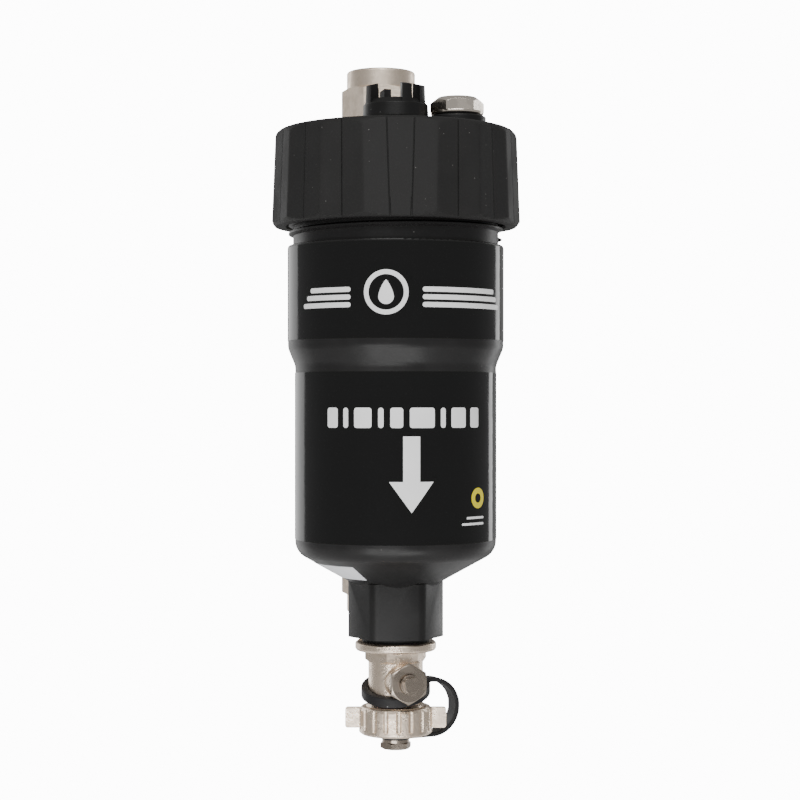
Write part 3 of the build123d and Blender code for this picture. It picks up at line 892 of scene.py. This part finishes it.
# %% Camera
EYE_TURN = math.radians(-4.8)
EYE_DISTANCE = 0.832
EYE_HEIGHT = 0.0698
EYE_SHIFT = 1.9 * MM
LENS, SENSOR_WIDTH = 85.1, 36.0  # Blender keeps these two in millimetres

right = Vector((math.cos(EYE_TURN), math.sin(EYE_TURN), 0))
away = Vector((-math.sin(EYE_TURN), math.cos(EYE_TURN), 0))
camera = bpy.data.objects.new("camera", bpy.data.cameras.new("camera"))
camera.data.lens = LENS
camera.data.sensor_width = SENSOR_WIDTH
camera.location = AXIS + EYE_SHIFT * right - EYE_DISTANCE * away + Vector((0, 0, EYE_HEIGHT))
camera.rotation_euler = (math.radians(90), 0, EYE_TURN)
bpy.context.scene.collection.objects.link(camera)
bpy.context.scene.camera = camera
print("camera at", [round(v, 3) for v in camera.location])

# %% [markdown]
# Black plastic shows only what it reflects, so the lights are large. Two tall ones stand
# behind the object, left and right, and draw long bright lines down the glossy label. A
# high one in front fills the fittings. Two small low ones reach the canister's cone and
# the shoulder between the labels. The background is a plain white that only the camera
# sees, so that it doesn't turn the black parts grey.

# %% Lights
MID_CANISTER = (0.0, -0.06, 0.10)
SHOULDER = (0.0, -0.09, 0.09)


def softbox(name, place, size, power, aim=MID_CANISTER):
    light = bpy.data.lights.new(name, "AREA")
    light.shape = "RECTANGLE"
    light.size, light.size_y = size
    light.energy = power
    lamp = bpy.data.objects.new(name, light)
    lamp.location = place
    lamp.rotation_euler = (Vector(aim) - Vector(place)).to_track_quat("-Z", "Y").to_euler()
    lamp.visible_camera = False
    bpy.context.scene.collection.objects.link(lamp)
    print(name, "of", power, "W")


softbox("left_box", place=(-0.62, 0.86, 0.15), size=(0.7, 1.3), power=4.4)
softbox("right_box", place=(0.80, 0.62, 0.12), size=(0.22, 1.2), power=2.6)
softbox("front_box", place=(-0.15, -1.35, 1.25), size=(1.3, 0.8), power=22.0)
softbox("low_box", place=(-0.30, -1.05, -0.34), size=(0.8, 0.22), power=3.5)
softbox("shoulder_box", place=(-0.04, -0.46, -0.28), size=(0.5, 0.14), power=0.9, aim=SHOULDER)

# %% Background
ROOM_GLOW = 0.36
BACKDROP_GLOW = 16.0

world = bpy.data.worlds.new("studio")
bpy.context.scene.world = world
world.use_nodes = True
tree = world.node_tree
room = tree.nodes["Background"]
room.inputs["Color"].default_value = (1.0, 1.0, 1.0, 1.0)
room.inputs["Strength"].default_value = ROOM_GLOW
seen = add(tree, "ShaderNodeBackground")
seen.inputs["Strength"].default_value = BACKDROP_GLOW
path = add(tree, "ShaderNodeLightPath")
choose = add(tree, "ShaderNodeMixShader")
tree.links.new(path.outputs["Is Camera Ray"], choose.inputs[0])
tree.links.new(room.outputs[0], choose.inputs[1])
tree.links.new(seen.outputs[0], choose.inputs[2])
tree.links.new(choose.outputs[0], tree.nodes["World Output"].inputs["Surface"])
print("the room glows at", ROOM_GLOW, "and the backdrop at", BACKDROP_GLOW)

# %% [markdown]
# The floor lies well below the valve, so that it returns a little light to the cone and
# never shows behind the object from the front.

# %% Floor
FLOOR_DROP = 0.30
FLOOR_RADIUS = 1.15

floor_mesh = bpy.data.meshes.new("floor")
work = bmesh.new()
bmesh.ops.create_circle(work, cap_ends=True, segments=96, radius=FLOOR_RADIUS)
work.to_mesh(floor_mesh)
work.free()
floor = bpy.data.objects.new("floor", floor_mesh)
floor.location = (0, 0, cad_box[0][2] - FLOOR_DROP)
floor_mesh.materials.append(plain_plastic("floor_paint", (0.93, 0.93, 0.93), 0.7))
bpy.context.scene.collection.objects.link(floor)
print("floor at", round(floor.location.z, 3))
